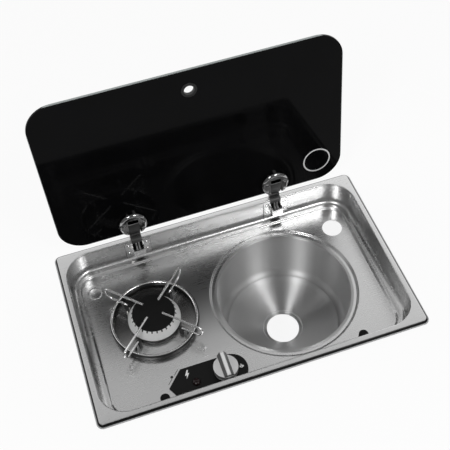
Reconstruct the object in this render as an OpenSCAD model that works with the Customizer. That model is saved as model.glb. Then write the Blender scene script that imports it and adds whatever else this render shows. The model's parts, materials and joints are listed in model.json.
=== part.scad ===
// Drop-in cooker and sink unit: a pressed steel tray with a round bowl, one gas burner
// and a flush glass lid on two hinges. Millimetres. The origin is the middle of the unit
// on the worktop surface, X to the right, Y to the back, Z up. The lid is drawn open.

/* [Tray] */
// Length over the edge seal
unit_len = 600; // [590:1:630]
// Depth over the edge seal
unit_dep = 366; // [364:1:380]
// Height of the rim above the worktop
rim_h = 6; // [5:0.5:7]
// How far the edge seal stands out past the steel
lip_w = 2; // [1:0.25:3]
// Thickness of the edge seal under the steel
seal_t = 1.2; // [0.8:0.1:1.5]
// Depth of the edge seal under the rim
seal_w = 8; // [6:0.5:9]
// Outer corner radius of the steel
corner_r = 10; // [9.5:0.5:14]
// Width of the rim from the overall edge to the recess
rim_w = 15; // [14:0.5:18]
// Thickness of the steel sheet
sheet_t = 0.8; // [0.7:0.1:1]
// Plan radius of the recess corners
recess_r = 50; // [44:1:56]
// Depth of the recess below the rim
recess_d = 55; // [52:1:60]
// Radius of the recess's top edge
lip_r = 2.2; // [1.5:0.1:2.5]
// Height of the ledge above the recess floor
ledge_h = 3.5; // [3:0.25:5]
// Radius between the recess wall and its ledge
cove_r = 10.5; // [9:0.5:12]
// How far the ledge reaches in from the recess edge
ledge_w = 14; // [13.5:0.5:15]
// Distance from the recess edge to the flat floor
floor_in = 19; // [18:0.5:20]

/* [Sink] */
// Middle of the bowl, left to right
bowl_x = 94.5; // [90:0.5:96]
// Middle of the bowl, front to back
bowl_y = -2; // [-3:0.5:0]
// Outer radius of the step round the bowl
step_r = 141; // [140:0.5:142]
// Depth of the step below the recess floor
step_d = 3.7; // [3:0.1:5]
// Radius of the bowl at its mouth
bowl_r = 125.1; // [122:0.1:127]
// Depth of the bowl's lowest corner below the recess floor
bowl_d = 116.5; // [100:0.5:130]
// Draft of the bowl wall
bowl_draft = 2.1; // [1:0.1:4]
// Radius between the bowl wall and its base
bowl_cove = 11; // [9:0.5:14]
// Radius of the drain hole
drain_r = 32.4; // [28:0.1:34]
// Width of the drain seat round its hole
drain_seat = 5.6; // [5:0.1:8]
// Depth of the drain seat
seat_d = 4; // [3:0.25:5]
// Fall of the bowl's base towards the drain
dish_d = 20.5; // [16:0.5:24]
// Radius of the tap hole
tap_r = 19.5; // [16:0.25:20]
// Tap hole, left to right
tap_x = 236; // [235:0.5:238]
// Tap hole, front to back
tap_y = 101.5; // [100:0.5:104]

/* [Burner] */
// Middle of the burner, left to right
burner_x = -152.8; // [-156:0.2:-148]
// Middle of the burner, front to back
burner_y = 16; // [12:0.5:20]
// Radius of the burner cap
cap_r = 39.3; // [36:0.1:40]
// Thickness of the cap's rim
cap_t = 1.9; // [1.6:0.1:2.4]
// Height of the cap's top above the recess floor
cap_h = 30; // [28:0.5:31]
// Radius of the crown's foot
crown_r = 48.6; // [47:0.1:49]
// Height of the crown's foot above the floor
crown_z = 11; // [10:0.25:12]
// Number of flame slots
slot_n = 28; // [24:2:36]
// Width of a flame slot
slot_w = 2.4; // [1:0.1:2.6]
// Depth of a flame slot
slot_d = 3; // [2:0.1:4]
// Outer radius of the pan support ring
ring_r = 82.5; // [80:0.5:84]
// Height of the pan support ring
ring_h = 14; // [12:0.25:14.5]
// Wall of the pan support ring
ring_t = 1.4; // [1:0.1:2]
// Wire diameter of the pan support
wire_d = 4.4; // [3.2:0.1:4.8]
// Height of the support wires' middle above the floor
wire_h = 43; // [42:0.5:44]
// Reach of the support wires from the middle of the burner
wire_out = 97; // [94:0.5:100]
// Distance of the wires' inner ends from the middle of the burner
wire_in = 20; // [14:0.5:26]
// Width of a support strap
strap_w = 18; // [14:0.5:20]
// Thickness of a support strap
strap_t = 1.5; // [1:0.1:2]

/* [Controls] */
// Knob, left to right
knob_x = -61.8; // [-62.5:0.1:-61]
// Knob, front to back
knob_y = -126.1; // [-126.5:0.1:-125.5]
// Radius of the knob
knob_r = 22.3; // [20:0.1:22.6]
// Height of the knob's disc above the recess floor
knob_h = 20; // [18:0.5:22]
// Push travel of the knob
knob_push = 3; // [2:0.25:3.5]
// Thickness of the control panel
panel_t = 2; // [1.5:0.1:2.5]
// Left tip of the control panel
panel_tip_x = -166.5; // [-168:0.5:-164]
// Back edge of the control panel
panel_back = -96; // [-98:0.5:-95]
// Front edge of the control panel
panel_front = -148; // [-148.4:0.1:-147]
// Igniter button, left to right
button_x = -117.6; // [-119:0.1:-116]
// Igniter button, front to back
button_y = -129.5; // [-131:0.1:-128]
// Radius of the igniter button
button_r = 7; // [6:0.1:8]
// Travel of the igniter button
button_push = 3; // [2:0.25:3.5]

/* [Lid] */
// Length of the glass
glass_len = 556; // [540:1:560]
// Depth of the glass
glass_dep = 326; // [322:0.5:327]
// Thickness of the glass
glass_t = 4; // [3.5:0.5:4]
// Corner radius of the glass
glass_r = 50; // [46:1:54]
// Angle of the open lid, from closed
lid_open = 97.16; // [92:0.5:98]
// Height of the hinge pin above the rim
pin_h = 4.1; // [4:0.1:4.4]
// Distance of the hinge pin from the recess's back edge
pin_back = 9.5; // [9:0.25:10.5]
// Hinge distance from the middle
hinge_x = 141; // [120:0.5:150]
// Radius of the hinge pin
pin_r = 2; // [1.8:0.1:2]
// Width of the hinge arm
arm_w = 21; // [19:0.25:21.5]
// Width of the bracket's channel
channel_w = 22.8; // [22:0.2:25]
// Radius of the finger hole's grommet
grommet_r = 14; // [12:0.25:15]
// Distance of the finger hole from the lid's hinged edge
hole_c = 286; // [280:0.5:292]

/* [Clearances] */
// Radial clearance of a pin or shaft
run_fit = 0.05; // [0.03:0.01:0.09]
// Gap beside a sliding or turning piece
side_gap = 0.3; // [0.25:0.05:0.4]
// Radial clearance of a screw in its hole
screw_gap = 0.25; // [0.1:0.05:0.4]

/* [Hidden] */

// Number of steps in a quarter turn of a profile
arc_n = 8;
// Seam between flange and wall
joint_gap = 0.12;
// Half sizes of the steel outline and of the recess
out_x = unit_len / 2 - lip_w;
out_y = unit_dep / 2 - lip_w;
rec_x = unit_len / 2 - rim_w;
rec_y = unit_dep / 2 - rim_w;
// Heights of the recess
floor_z = rim_h - recess_d;
ledge_z = floor_z + ledge_h;
flat_r = recess_r - floor_in - 3;
// Heights of the sink
step_z = floor_z - step_d;
bowl_z = floor_z - bowl_d;
dish_z = bowl_z - dish_d;
seat_z = dish_z - seat_d;
// Radius of the seam between tray and bowl, and the bowl's mouth rounding
seam_r = bowl_r + 6;
mouth_r = 2;
seat_r = drain_r + drain_seat;
// Burner sizes
hub_r = 44;
base_r = hub_r + 3.2;
base_lip = 2.4;
base_d = 24;
base_wall = 3;
cap_z = floor_z + cap_h;
crown_top = cap_z - cap_t;
crown_foot = floor_z + crown_z;
jet_r = 4.5;
boss_r = 9;
boss_d = 16;
shield_r = 88;
shield_t = 0.8;
shield_d = 10;
probe_at = crown_r + 2.1;
spark_a = 150;
thermo_a = 139.5;
probe_r = 1.5;
base_screw_at = 30;
// Screw sizes
m4_r = 2;
m3_r = 1.5;
// Pan support sizes
ring_mid = ring_r - ring_t;
strap_in = probe_at + probe_r + 1;
wire_z = floor_z + wire_h;
wire_low = floor_z + 17;
// Control sizes
panel_z = floor_z + panel_t;
panel_edge_r = 30;
panel_cx = knob_x + 10;
knob_z = floor_z + knob_h;
knob_foot = panel_z + knob_push + side_gap;
spindle_r = 4;
valve_r = 9;
valve_d = 34;
collar_r = 6;
valve_top = floor_z - sheet_t;
bracket_drop = 14;
bracket_t = 1.5;
gland_z = valve_top - bracket_drop;
housing_r = 9.5;
housing_d = 40;
stem_r = 3;
// Hinge sizes
pin_y = rec_y + pin_back;
pin_z = rim_h + pin_h;
eye_r = pin_h - side_gap;
eye_w = 9;
arm_t = 2;
neck_t = 1.5;
neck_gap = 0.45;
wall_y = rec_y;
plate_w = 51;
plate_t = 1.5;
plate_top = 0;
plate_bot = -41;
// The plate's toe follows the recess cove
toe_in = 2.3;
channel_y = wall_y - 13;
channel_top = -9;
channel_bot = -28;
channel_front = 16;
finger_w = 2.8;
finger_x = 2.6;
cheek_t = 1.5;
screw_x = 18;
screw_dz = 11;
screw_mid = -17.5;
// Lid frame: c runs from the hinged edge to the free edge, d out of the inner face
lid_gap = 7;
edge_gap = 1.5;
pin_c = -pin_back - lid_gap;
pin_d = -(pin_z - (rim_h - glass_t));
cup_w = 54;
cup_c0 = 3.5;
cup_c1 = 50;
cup_t = 10;
pocket_r = 3.6;
cup_x = 17;
cup_s = [11, 29];
dome_r = 6;
outer_t = 3;
// Bumper sizes
bumper_x = 180;
bumper_w = 16.5;
bumper_out = 12;

// Points of an arc: middle, radius, first and last angle
function arc(cx, cy, r, a0, a1, n) = [for (i = [0:n]) let (a = a0 + (a1 - a0) * i / n)
    [cx + r * cos(a), cy + r * sin(a)]];
// Unit normal on the right of a segment
function seg_n(p, q) = let (d = q - p, l = norm(d)) [d[1] / l, -d[0] / l];
// A path moved sideways by t, to its right
function shifted(p, t) = [for (i = [0:len(p) - 1]) let (
    a = seg_n(p[max(i - 1, 0)], p[max(i, 1)]),
    b = seg_n(p[min(i, len(p) - 2)], p[min(i + 1, len(p) - 1)]),
    m = (a + b) / (1 + a * b)) p[i] + m * t];
// Closed outline of a sheet that follows a path, with its thickness on the right
function sheet(p, t) = concat(p, [for (i = [len(p) - 1:-1:0]) shifted(p, t)[i]]);
function rev(p) = [for (i = [len(p) - 1:-1:0]) p[i]];
// Smooth step between two points, level at both ends
function ease(p, q, n) = [for (i = [0:n]) let (s = i / n)
    [p[0] + (q[0] - p[0]) * s, p[1] + (q[1] - p[1]) * (3 * s * s - 2 * s * s * s)]];

// Rounded rectangle from its half sizes
module round_rect(hx, hy, r) {
    union() {
        square([2 * (hx - r), 2 * hy], center = true);
        square([2 * hx, 2 * (hy - r)], center = true);
        for (i = [-1, 1], j = [-1, 1]) translate([i * (hx - r), j * (hy - r)]) circle(r = r, $fn = 128);
    }
}

// Profile (x outwards from the line, y up) carried round a rounded rectangle
module swept(hx, hy, r) {
    for (k = [0:3]) rotate([0, 0, 90 * k]) {
        a = (k % 2 == 0) ? hx : hy;
        b = (k % 2 == 0) ? hy : hx;
        translate([a - r, b - r, 0]) rotate_extrude(angle = 90, $fn = 128) translate([r, 0]) children();
        translate([a, b - r, 0]) rotate([90, 0, 0]) linear_extrude(height = 2 * (b - r)) children();
    }
}

// Smooth curve through a list of points, n steps a span
function curve(p, n) = let (e = len(p) - 1) concat([for (i = [0:e - 1], j = [0:n - 1])
    let (t = j / n, a = p[max(i - 1, 0)], b = p[i], c = p[i + 1], d = p[min(i + 2, e)])
    b + (c - a) * t / 2 + (2 * a - 5 * b + 4 * c - d) * t * t / 2 + (3 * b - a - 3 * c + d)
        * t * t * t / 2], [p[e]]);

// Round tube along a list of points, its rings carried along without twist
function dirs(p) = [for (i = [0:len(p) - 1]) let (d = p[min(i + 1, len(p) - 1)] - p[max(i - 1, 0)])
    d / norm(d)];
function unit(v) = v / norm(v);
function carried(v, d) = unit(v - (v * d) * d);
function first_side(d) = unit(cross(d, abs(d[2]) < 0.9 ? [0, 0, 1] : [0, 1, 0]));
function sides(d) = [for (i = 0, v = first_side(d[0]); i < len(d); i = i + 1,
    v = carried(v, d[min(i, len(d) - 1)])) v];
module tube(p, r, n) {
    d = dirs(p);
    s = sides(d);
    m = len(p);
    pts = [for (i = [0:m - 1]) let (t = cross(s[i], d[i])) for (k = [0:n - 1])
        p[i] + s[i] * r * cos(360 * k / n) + t * r * sin(360 * k / n)];
    faces = concat([[for (k = [0:n - 1]) k]],
        [for (i = [0:m - 2], k = [0:n - 1], h = [0, 1]) let (a = i * n + k, b = i * n + (k + 1) % n)
            h == 0 ? [a, a + n, b + n] : [a, b + n, b]],
        [[for (k = [n - 1:-1:0]) (m - 1) * n + k]]);
    polyhedron(points = pts, faces = faces, convexity = 6);
}

// ---------- tray ----------
wall_top = rim_h - lip_r;
cove_z = ledge_z + cove_r;
wall_path = concat(
    arc(lip_r, wall_top, lip_r, 90, 180, arc_n),
    arc(-cove_r, cove_z, cove_r, 0, -90, arc_n),
    ease([-ledge_w, ledge_z], [-floor_in, floor_z], arc_n),
    [[-floor_in - 3, floor_z]]);
// The rolled edge ends on the seal
roll_end = 0.5;
roll_r = rim_h - seal_t - roll_end;
edge_path = concat(arc(-roll_r, rim_h - roll_r, roll_r, 90, 0, arc_n), [[0, seal_t]]);

// The pressing is one sheet; rim, wall and floor are drawn as three, face to face
module tray_rim() {
    color([0.78, 0.78, 0.77]) union() {
        translate([0, 0, rim_h - sheet_t]) linear_extrude(height = sheet_t) difference() {
            round_rect(out_x - roll_r, out_y - roll_r, corner_r - roll_r);
            round_rect(rec_x + lip_r + joint_gap, rec_y + lip_r + joint_gap, recess_r + lip_r + joint_gap);
        }
        swept(out_x, out_y, corner_r) polygon(sheet(edge_path, sheet_t));
    }
}
module tray_floor() {
    color([0.78, 0.78, 0.77]) union() {
        floor_sheet();
        translate([bowl_x, bowl_y, 0]) rotate_extrude($fn = 128) polygon(sheet(step_path, sheet_t));
    }
}

// Path of the step round the bowl, from the seam outwards
step_path = concat([[seam_r, step_z], [step_r - 7, step_z]],
    ease([step_r - 5, step_z], [step_r, floor_z], arc_n),
    [[step_r + 2, floor_z]]);

module tray_wall() {
    color([0.78, 0.78, 0.77]) difference() {
        swept(rec_x, rec_y, recess_r) polygon(sheet(wall_path, -sheet_t));
        for (s = [-1, 1]) at_bracket_screws(s) cylinder(r = m4_r + screw_gap, h = 20, center = true,
            $fn = 32);
        for (s = [-1, 1]) translate([s * bumper_x, -wall_y, bumper_top - bumper_stem]) rotate([90, 0, 0])
            cylinder(r = bumper_hole, h = 10, center = true, $fn = 32);
    }
}

module floor_sheet() {
    translate([0, 0, floor_z - sheet_t]) linear_extrude(height = sheet_t) difference() {
        round_rect(rec_x - floor_in - 3, rec_y - floor_in - 3, flat_r);
        translate([bowl_x, bowl_y]) circle(r = step_r + 2, $fn = 128);
        translate([burner_x, burner_y]) circle(r = hub_r + screw_gap, $fn = 96);
        translate([tap_x, tap_y]) circle(r = tap_r, $fn = 96);
        translate([knob_x, knob_y]) circle(r = collar_r + side_gap, $fn = 64);
        translate([button_x, button_y]) circle(r = button_r + side_gap, $fn = 64);
        for (a = [spark_a, thermo_a]) at_probe(a) circle(r = probe_r + screw_gap, $fn = 32);
    }
}

bumper_top = rim_h - glass_t - side_gap;
bumper_stem = 10;
bumper_hole = 3;

module at_probe(a) {
    translate([burner_x + probe_at * cos(a), burner_y + probe_at * sin(a)]) children();
}

module sink_bowl() {
    path = concat([[seam_r, step_z], [bowl_r + mouth_r + 1, step_z]],
        arc(bowl_r + mouth_r, step_z - mouth_r, mouth_r, 90, 180, 6),
        arc(bowl_r - bowl_draft - bowl_cove, bowl_z + bowl_cove, bowl_cove, 0, -90, arc_n),
        [[shoulder_r + 1.2, bowl_z + 0.5], [shoulder_r, bowl_z + 0.8], [shoulder_r - 1.5, bowl_z + 0.4],
            [shoulder_r - 11, bowl_z - dish_d * 0.27]],
        [[seat_r + 4, dish_z + 0.3], [seat_r + 2, dish_z - 0.2], [seat_r + 0.3, seat_z + 0.5],
            [seat_r - 0.4, seat_z], [drain_r, seat_z]]);
    color([0.76, 0.76, 0.75]) translate([bowl_x, bowl_y, 0])
        rotate_extrude($fn = 128) polygon(sheet(path, -sheet_t));
}
shoulder_r = bowl_r - bowl_draft - bowl_cove - 2.5;

// How far the seal's lip rises past the edge of the steel
lip_up = 0.3;
module edge_seal() {
    color([0.72, 0.73, 0.74]) swept(out_x, out_y, corner_r) polygon([
        [-seal_w, 0], [lip_w, 0], [lip_w, seal_t - 0.4], [lip_w - 0.6, seal_t + lip_up],
        [0.2, seal_t + lip_up], [0.2, seal_t], [-seal_w, seal_t]]);
}

// Positions of the worktop clamps: x, y and the way they face
clamp_list = [[-170, -1], [0, -1], [170, -1], [-190, 1], [0, 1], [190, 1]];
clamp_w = 16;
clamp_z = -42;
clamp_reach = 15;
clamp_t = 1.5;
clamp_h = 20;
clamp_lip = 5;
clamp_grip = 20;
module at_clamps() {
    for (c = clamp_list) translate([c[0], c[1] * (wall_y + sheet_t), 0]) mirror([0, c[1] < 0 ? 1 : 0, 0])
        children();
}
module worktop_clamps() {
    color([0.6, 0.6, 0.58]) at_clamps() difference() {
        union() {
            translate([-clamp_w / 2, 0, clamp_z]) cube([clamp_w, clamp_t, clamp_h]);
            translate([-clamp_w / 2, 0, clamp_z]) cube([clamp_w, clamp_reach, clamp_t]);
            translate([-clamp_w / 2, clamp_reach - clamp_t, clamp_z]) cube([clamp_w, clamp_t, clamp_lip]);
        }
        translate([0, (clamp_reach + clamp_t) / 2, clamp_z - 1])
            cylinder(r = m4_r + run_fit, h = clamp_t + 2, $fn = 32);
    }
}
module clamp_screws() {
    pad = 4.5;
    color([0.7, 0.7, 0.68]) at_clamps() translate([0, (clamp_reach + clamp_t) / 2, 0]) {
        translate([0, 0, clamp_z - 12]) cylinder(r = m4_r, h = -clamp_grip - clamp_z + 12, $fn = 32);
        translate([0, 0, -clamp_grip - 1.5]) cylinder(r = pad, h = 1.5, $fn = 48);
        translate([0, 0, clamp_z - 14]) cylinder(r = pad - 0.5, h = 2.4, $fn = 48);
    }
}

// ---------- controls ----------
panel_tip_y = -125.7;
tip_run = 28.3;
module panel_outline() {
    low = asin((panel_back - panel_edge_r - panel_front) / panel_edge_r);
    difference() {
        polygon(concat([[panel_tip_x, panel_tip_y], [panel_tip_x + tip_run, panel_back]],
            arc(panel_cx, panel_back - panel_edge_r, panel_edge_r, 90, -low, 24),
                [[panel_tip_x + 12, panel_front]]));
        translate([knob_x, knob_y]) circle(r = collar_r + side_gap, $fn = 64);
        translate([button_x, button_y]) circle(r = button_r + side_gap, $fn = 64);
    }
}
module control_panel() {
    color([0.05, 0.05, 0.055]) translate([0, 0, floor_z]) linear_extrude(height = panel_t)
        panel_outline();
}
mark_t = 0.15;
flash_k = [1.1, 1.02];
module panel_marks() {
    color([0.92, 0.92, 0.9]) translate([0, 0, panel_z]) linear_extrude(height = mark_t) {
        translate([button_x - 11.8, button_y + 19.5]) scale(flash_k)
            polygon([[1.5, 8], [4, 8], [1.6, 2], [4.2, 2], [-2.6, -8.5], [-0.6, -1.2], [-3.4, -1.2]]);
        translate([knob_x + knob_r + 6.2, knob_y + 0.8]) difference() {
            polygon([[-4, -2.6], [-3, 1], [-1, -0.6], [0, 5], [1.4, -0.6], [3, 1], [4, -2.6], [0, -4.6]]);
            translate([0, -1.9]) circle(r = 0.9, $fn = 24);
        }
    }
}
mark_dx = 10.5;
mark_dy = -9;
line_len = 13;
module tray_mark() {
    color([0.3, 0.3, 0.31]) translate([panel_tip_x + mark_dx, panel_back + mark_dy, floor_z])
        linear_extrude(height = mark_t) {
            circle(r = 2.6, $fn = 32);
            for (p = [[10.1, 6.2], [-4.6, -8.2]]) translate(p) rotate([0, 0, 46])
                translate([-line_len / 2, 0]) square([line_len, 1]);
        }
}

// Gas valve under the tray: the spindle slides and turns in its bore
module valve_body() {
    color([0.72, 0.6, 0.32]) translate([knob_x, knob_y, 0]) difference() {
        union() {
            translate([0, 0, gland_z - valve_d]) cylinder(r = valve_r, h = valve_d, $fn = 64);
            translate([0, 0, gland_z]) cylinder(r = valve_r - 2, h = 4, $fn = 64);
            translate([0, 0, gland_z - valve_d + 8]) rotate([90, 0, 0])
                cylinder(r = port_r, h = port_len, $fn = 48);
            translate([0, 0, gland_z - valve_d + 8]) rotate([0, -90, 0])
                cylinder(r = port_r, h = port_len, $fn = 48);
            translate([0, 0, gland_z - valve_d + 22]) rotate([-90, 0, 0])
                cylinder(r = 4, h = 20, $fn = 48);
        }
        translate([0, 0, gland_z - 24]) cylinder(r = spindle_r + run_fit, h = 30, $fn = 64);
        translate([0, 0, gland_z - valve_d + 8]) rotate([90, 0, 0])
            translate([0, 0, port_len - port_deep])
            cylinder(r = inlet_r + run_fit, h = port_deep + 1, $fn = 48);
        translate([0, 0, gland_z - valve_d + 8]) rotate([0, -90, 0])
            translate([0, 0, port_len - port_deep])
            cylinder(r = pipe_r + run_fit, h = port_deep + 1, $fn = 48);
        translate([0, 0, gland_z - valve_d + 22]) rotate([-90, 0, 0]) translate([0, 0, 12])
            cylinder(r = probe_r + run_fit, h = 10, $fn = 32);
    }
}
pipe_r = 3;
port_len = 22;
port_deep = 10;
inlet_r = 4;
port_r = 6;
module valve_bracket() {
    w = 46;
    color([0.66, 0.66, 0.65]) translate([knob_x, knob_y, 0]) difference() {
        union() {
            translate([-w / 2, -10, gland_z]) cube([w, 20, bracket_t]);
            for (s = [-1, 1]) translate([s * (w / 2 - bracket_t / 2) - bracket_t / 2, -10, gland_z])
                cube([bracket_t, 20, bracket_drop]);
            for (s = [-1, 1]) translate([s * (w / 2 + 4) - 5, -10, valve_top - bracket_t])
                cube([10, 20, bracket_t]);
        }
        translate([0, 0, gland_z - 1]) cylinder(r = valve_r - 2 + screw_gap, h = bracket_t + 2, $fn = 64);
    }
}
// Coil of a spring as stacked rings joined by a thin sleeve
module spring_coils(r, w, z0, z1, n) {
    step = (z1 - z0 - 2 * w) / (n - 1);
    difference() {
        union() {
            for (i = [0:n - 1]) translate([0, 0, z0 + w + i * step]) rotate_extrude($fn = 48)
                translate([r, 0]) circle(r = w, $fn = 16);
            translate([0, 0, z0 + w / 2]) cylinder(r = r + w / 3, h = z1 - z0 - w, $fn = 48);
        }
        translate([0, 0, z0 - 1]) cylinder(r = r - w / 3, h = z1 - z0 + 2, $fn = 48);
    }
}
module valve_spring() {
    color([0.6, 0.6, 0.6]) translate([knob_x, knob_y, 0])
        spring_coils(spindle_r + 1.2, 0.45, gland_z + 4, collar_z, 5);
}
collar_z = valve_top - 2;
collar_h = 5;

// ---------- spindle, knob ----------
module spindle_collar() {
    color([0.5, 0.5, 0.5]) translate([knob_x, knob_y, 0]) difference() {
        translate([0, 0, collar_z]) cylinder(r = collar_r, h = collar_h, $fn = 64);
        translate([0, 0, collar_z - 1]) cylinder(r = spindle_r + run_fit, h = collar_h + 2, $fn = 64);
    }
}
module knob_spindle() {
    color([0.7, 0.62, 0.4]) translate([knob_x, knob_y, 0]) {
        translate([0, 0, gland_z - 19]) cylinder(r = spindle_r, h = knob_z - 6 - (gland_z - 19),
            $fn = 64);
        translate([0, 0, collar_z + collar_h + side_gap]) cylinder(r = spindle_r + 1.5, h = 1, $fn = 64);
        translate([0, 0, collar_z - 1 - side_gap]) cylinder(r = spindle_r + 0.6, h = 1, $fn = 64);
    }
}
bar_rear = 11;
bar_front = 4.5;
bar_w = 18;
bar_top_w = 6.6;
module knob() {
    color([0.66, 0.66, 0.66]) translate([knob_x, knob_y, 0]) difference() {
        union() {
            rotate_extrude($fn = 128) polygon(concat(
                [[0, knob_foot], [knob_r - 1, knob_foot], [knob_r - 0.6, knob_foot + 0.4]],
                arc(knob_r - 1.4, knob_z - 1.4, 1.4, 0, 90, 6), [[0, knob_z]]));
            pointer_bar();
        }
        translate([0, 0, knob_foot - 1]) cylinder(r = spindle_r + run_fit, h = knob_z - 6 - knob_foot + 1,
            $fn = 64);
        translate([0, 0, knob_foot - 1]) difference() {
            cylinder(r = knob_r - 2.2, h = knob_z - knob_foot - 2, $fn = 96);
            cylinder(r = spindle_r + 3, h = knob_z - knob_foot, $fn = 64);
        }
        translate([-stripe_w / 2, -knob_r, knob_z]) pointer_cut();
    }
}
stripe_w = 4.8;
stripe_d = 0.6;
// Raised wedge across the knob, higher at its rear end
module pointer_bar() {
    intersection() {
        rotate([90, 0, 90]) linear_extrude(height = bar_w, center = true)
            polygon([[-knob_r + 0.6, knob_z - 1.5], [knob_r + 1.4, knob_z - 1.5],
                [knob_r + 1.8, knob_z + bar_rear - 1],
                [knob_r + 0.8, knob_z + bar_rear], [-knob_r + 1.6, knob_z + bar_front],
                [-knob_r + 0.6, knob_z + bar_front - 1]]);
        rotate([90, 0, 0]) linear_extrude(height = 4 * knob_r, center = true)
            polygon([[-bar_w / 2, knob_z - 1.5], [bar_w / 2, knob_z - 1.5], [bar_w / 2, knob_z],
                [bar_top_w / 2, knob_z + bar_rear],
                [-bar_top_w / 2, knob_z + bar_rear], [-bar_w / 2, knob_z]]);
    }
}
// Groove for the light stripe, following the top of the wedge
stripe_y0 = 3;
stripe_y1 = 2 * knob_r - 1;
bar_slope = (bar_rear - bar_front) / (2 * knob_r - 0.8);
function bar_z(y) = bar_front + bar_slope * (y - 1.6);
module pointer_cut() {
    rotate([90, 0, 90]) linear_extrude(height = stripe_w)
        polygon([[stripe_y0, bar_z(stripe_y0) - stripe_d], [stripe_y1, bar_z(stripe_y1) - stripe_d],
            [stripe_y1, bar_z(stripe_y1) + 3], [stripe_y0, bar_z(stripe_y0) + 3]]);
}
module knob_stripe() {
    color([0.9, 0.9, 0.88]) translate([knob_x - stripe_w / 2, knob_y - knob_r, knob_z])
        rotate([90, 0, 90])
        linear_extrude(height = stripe_w)
            polygon([[stripe_y0, bar_z(stripe_y0) - stripe_d], [stripe_y1, bar_z(stripe_y1) - stripe_d],
                [stripe_y1, bar_z(stripe_y1)], [stripe_y0, bar_z(stripe_y0)]]);
}

// ---------- igniter ----------
button_foot = panel_z - 0.5;
button_dome = 5.2;
module igniter_button() {
    color([0.3, 0.04, 0.05]) translate([button_x, button_y, 0]) union() {
        rotate_extrude($fn = 96) polygon(concat([[0, button_foot]], [[button_r, button_foot]],
            [for (i = [0:12]) [button_r * cos(90 * i / 12), panel_z + 1.2 + (button_dome - 1.2)
                * sin(90 * i / 12)]]));
        translate([0, 0, floor_z - housing_d + 12])
            cylinder(r = stem_r, h = button_foot - (floor_z - housing_d + 12) + 1, $fn = 48);
    }
}
housing_top = floor_z - sheet_t;
module igniter_housing() {
    color([0.12, 0.12, 0.12]) translate([button_x, button_y, 0]) difference() {
        translate([0, 0, housing_top - housing_d]) cylinder(r = housing_r, h = housing_d, $fn = 64);
        translate([0, 0, housing_top - housing_d + 6])
            cylinder(r = stem_r + run_fit, h = housing_d, $fn = 48);
        translate([0, 0, housing_top - spring_pit])
            cylinder(r = stem_r + 2, h = spring_pit + 1, $fn = 48);
        translate([0, 0, button_foot - button_push - 1])
            cylinder(r = button_r + side_gap, h = 10, $fn = 64);
        translate([0, 0, housing_top - housing_d - 1]) cylinder(r = lead_r + run_fit, h = 6, $fn = 32);
    }
}
spring_pit = 12;
lead_r = 1.2;
module igniter_spring() {
    color([0.6, 0.6, 0.6]) translate([button_x, button_y, 0])
        spring_coils(stem_r + 1.1, 0.35, housing_top - spring_pit, button_foot, 5);
}
spark_x = burner_x + probe_at * cos(spark_a);
spark_y = burner_y + probe_at * sin(spark_a);
module spark_electrode() {
    color([0.93, 0.93, 0.9]) translate([spark_x, spark_y, 0]) union() {
        translate([0, 0, floor_z - 22]) cylinder(r = probe_r, h = 22 + 16, $fn = 32);
        translate([0, 0, floor_z - 3.2]) cylinder(r = probe_r + 1.5, h = 3.2 - sheet_t, $fn = 32);
        translate([0, 0, floor_z + 15]) cylinder(r = 0.6, h = 5, $fn = 24);
    }
}
thermo_x = burner_x + probe_at * cos(thermo_a);
thermo_y = burner_y + probe_at * sin(thermo_a);
module thermocouple() {
    color([0.75, 0.55, 0.35]) translate([thermo_x, thermo_y, 0]) union() {
        translate([0, 0, floor_z - 14]) cylinder(r = probe_r, h = 14 + 20, $fn = 32);
        translate([0, 0, floor_z - 4]) cylinder(r = probe_r + 1.5, h = 4 - sheet_t, $fn = 32);
    }
}
module thermocouple_lead() {
    v = [knob_x, knob_y + 20, gland_z - valve_d + 22];
    p = [[thermo_x, thermo_y, floor_z - 14], [thermo_x, thermo_y, floor_z - 26],
        [thermo_x - 10, thermo_y - 4, floor_z - 50],
        [-222, 20, floor_z - 62], [-216, -30, floor_z - 62], [-186, -70, floor_z - 56],
            [-140, -92, floor_z - 46],
        [-95, -94, v[2]], [v[0] - 10, v[1] + 10, v[2]], [v[0], v[1] + 2, v[2]], [v[0], v[1] - 6, v[2]]];
    color([0.75, 0.55, 0.35]) tube(curve(p, 4), probe_r - 0.4, 8);
}
module ignition_lead() {
    p = [[button_x, button_y, housing_top - housing_d + 4],
        [button_x, button_y, housing_top - housing_d - 2],
        [button_x, button_y, housing_top - housing_d - 8],
        [button_x - 8, button_y + 10, housing_top - housing_d - 20], [-150, -86, floor_z - 66],
        [-196, -62, floor_z - 68],
        [-232, -20, floor_z - 68], [-226, 24, floor_z - 62], [spark_x - 10, spark_y - 4, floor_z - 50],
        [spark_x, spark_y, floor_z - 32], [spark_x, spark_y, floor_z - 22]];
    color([0.15, 0.15, 0.16]) tube(curve(p, 4), lead_r, 8);
}

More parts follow.
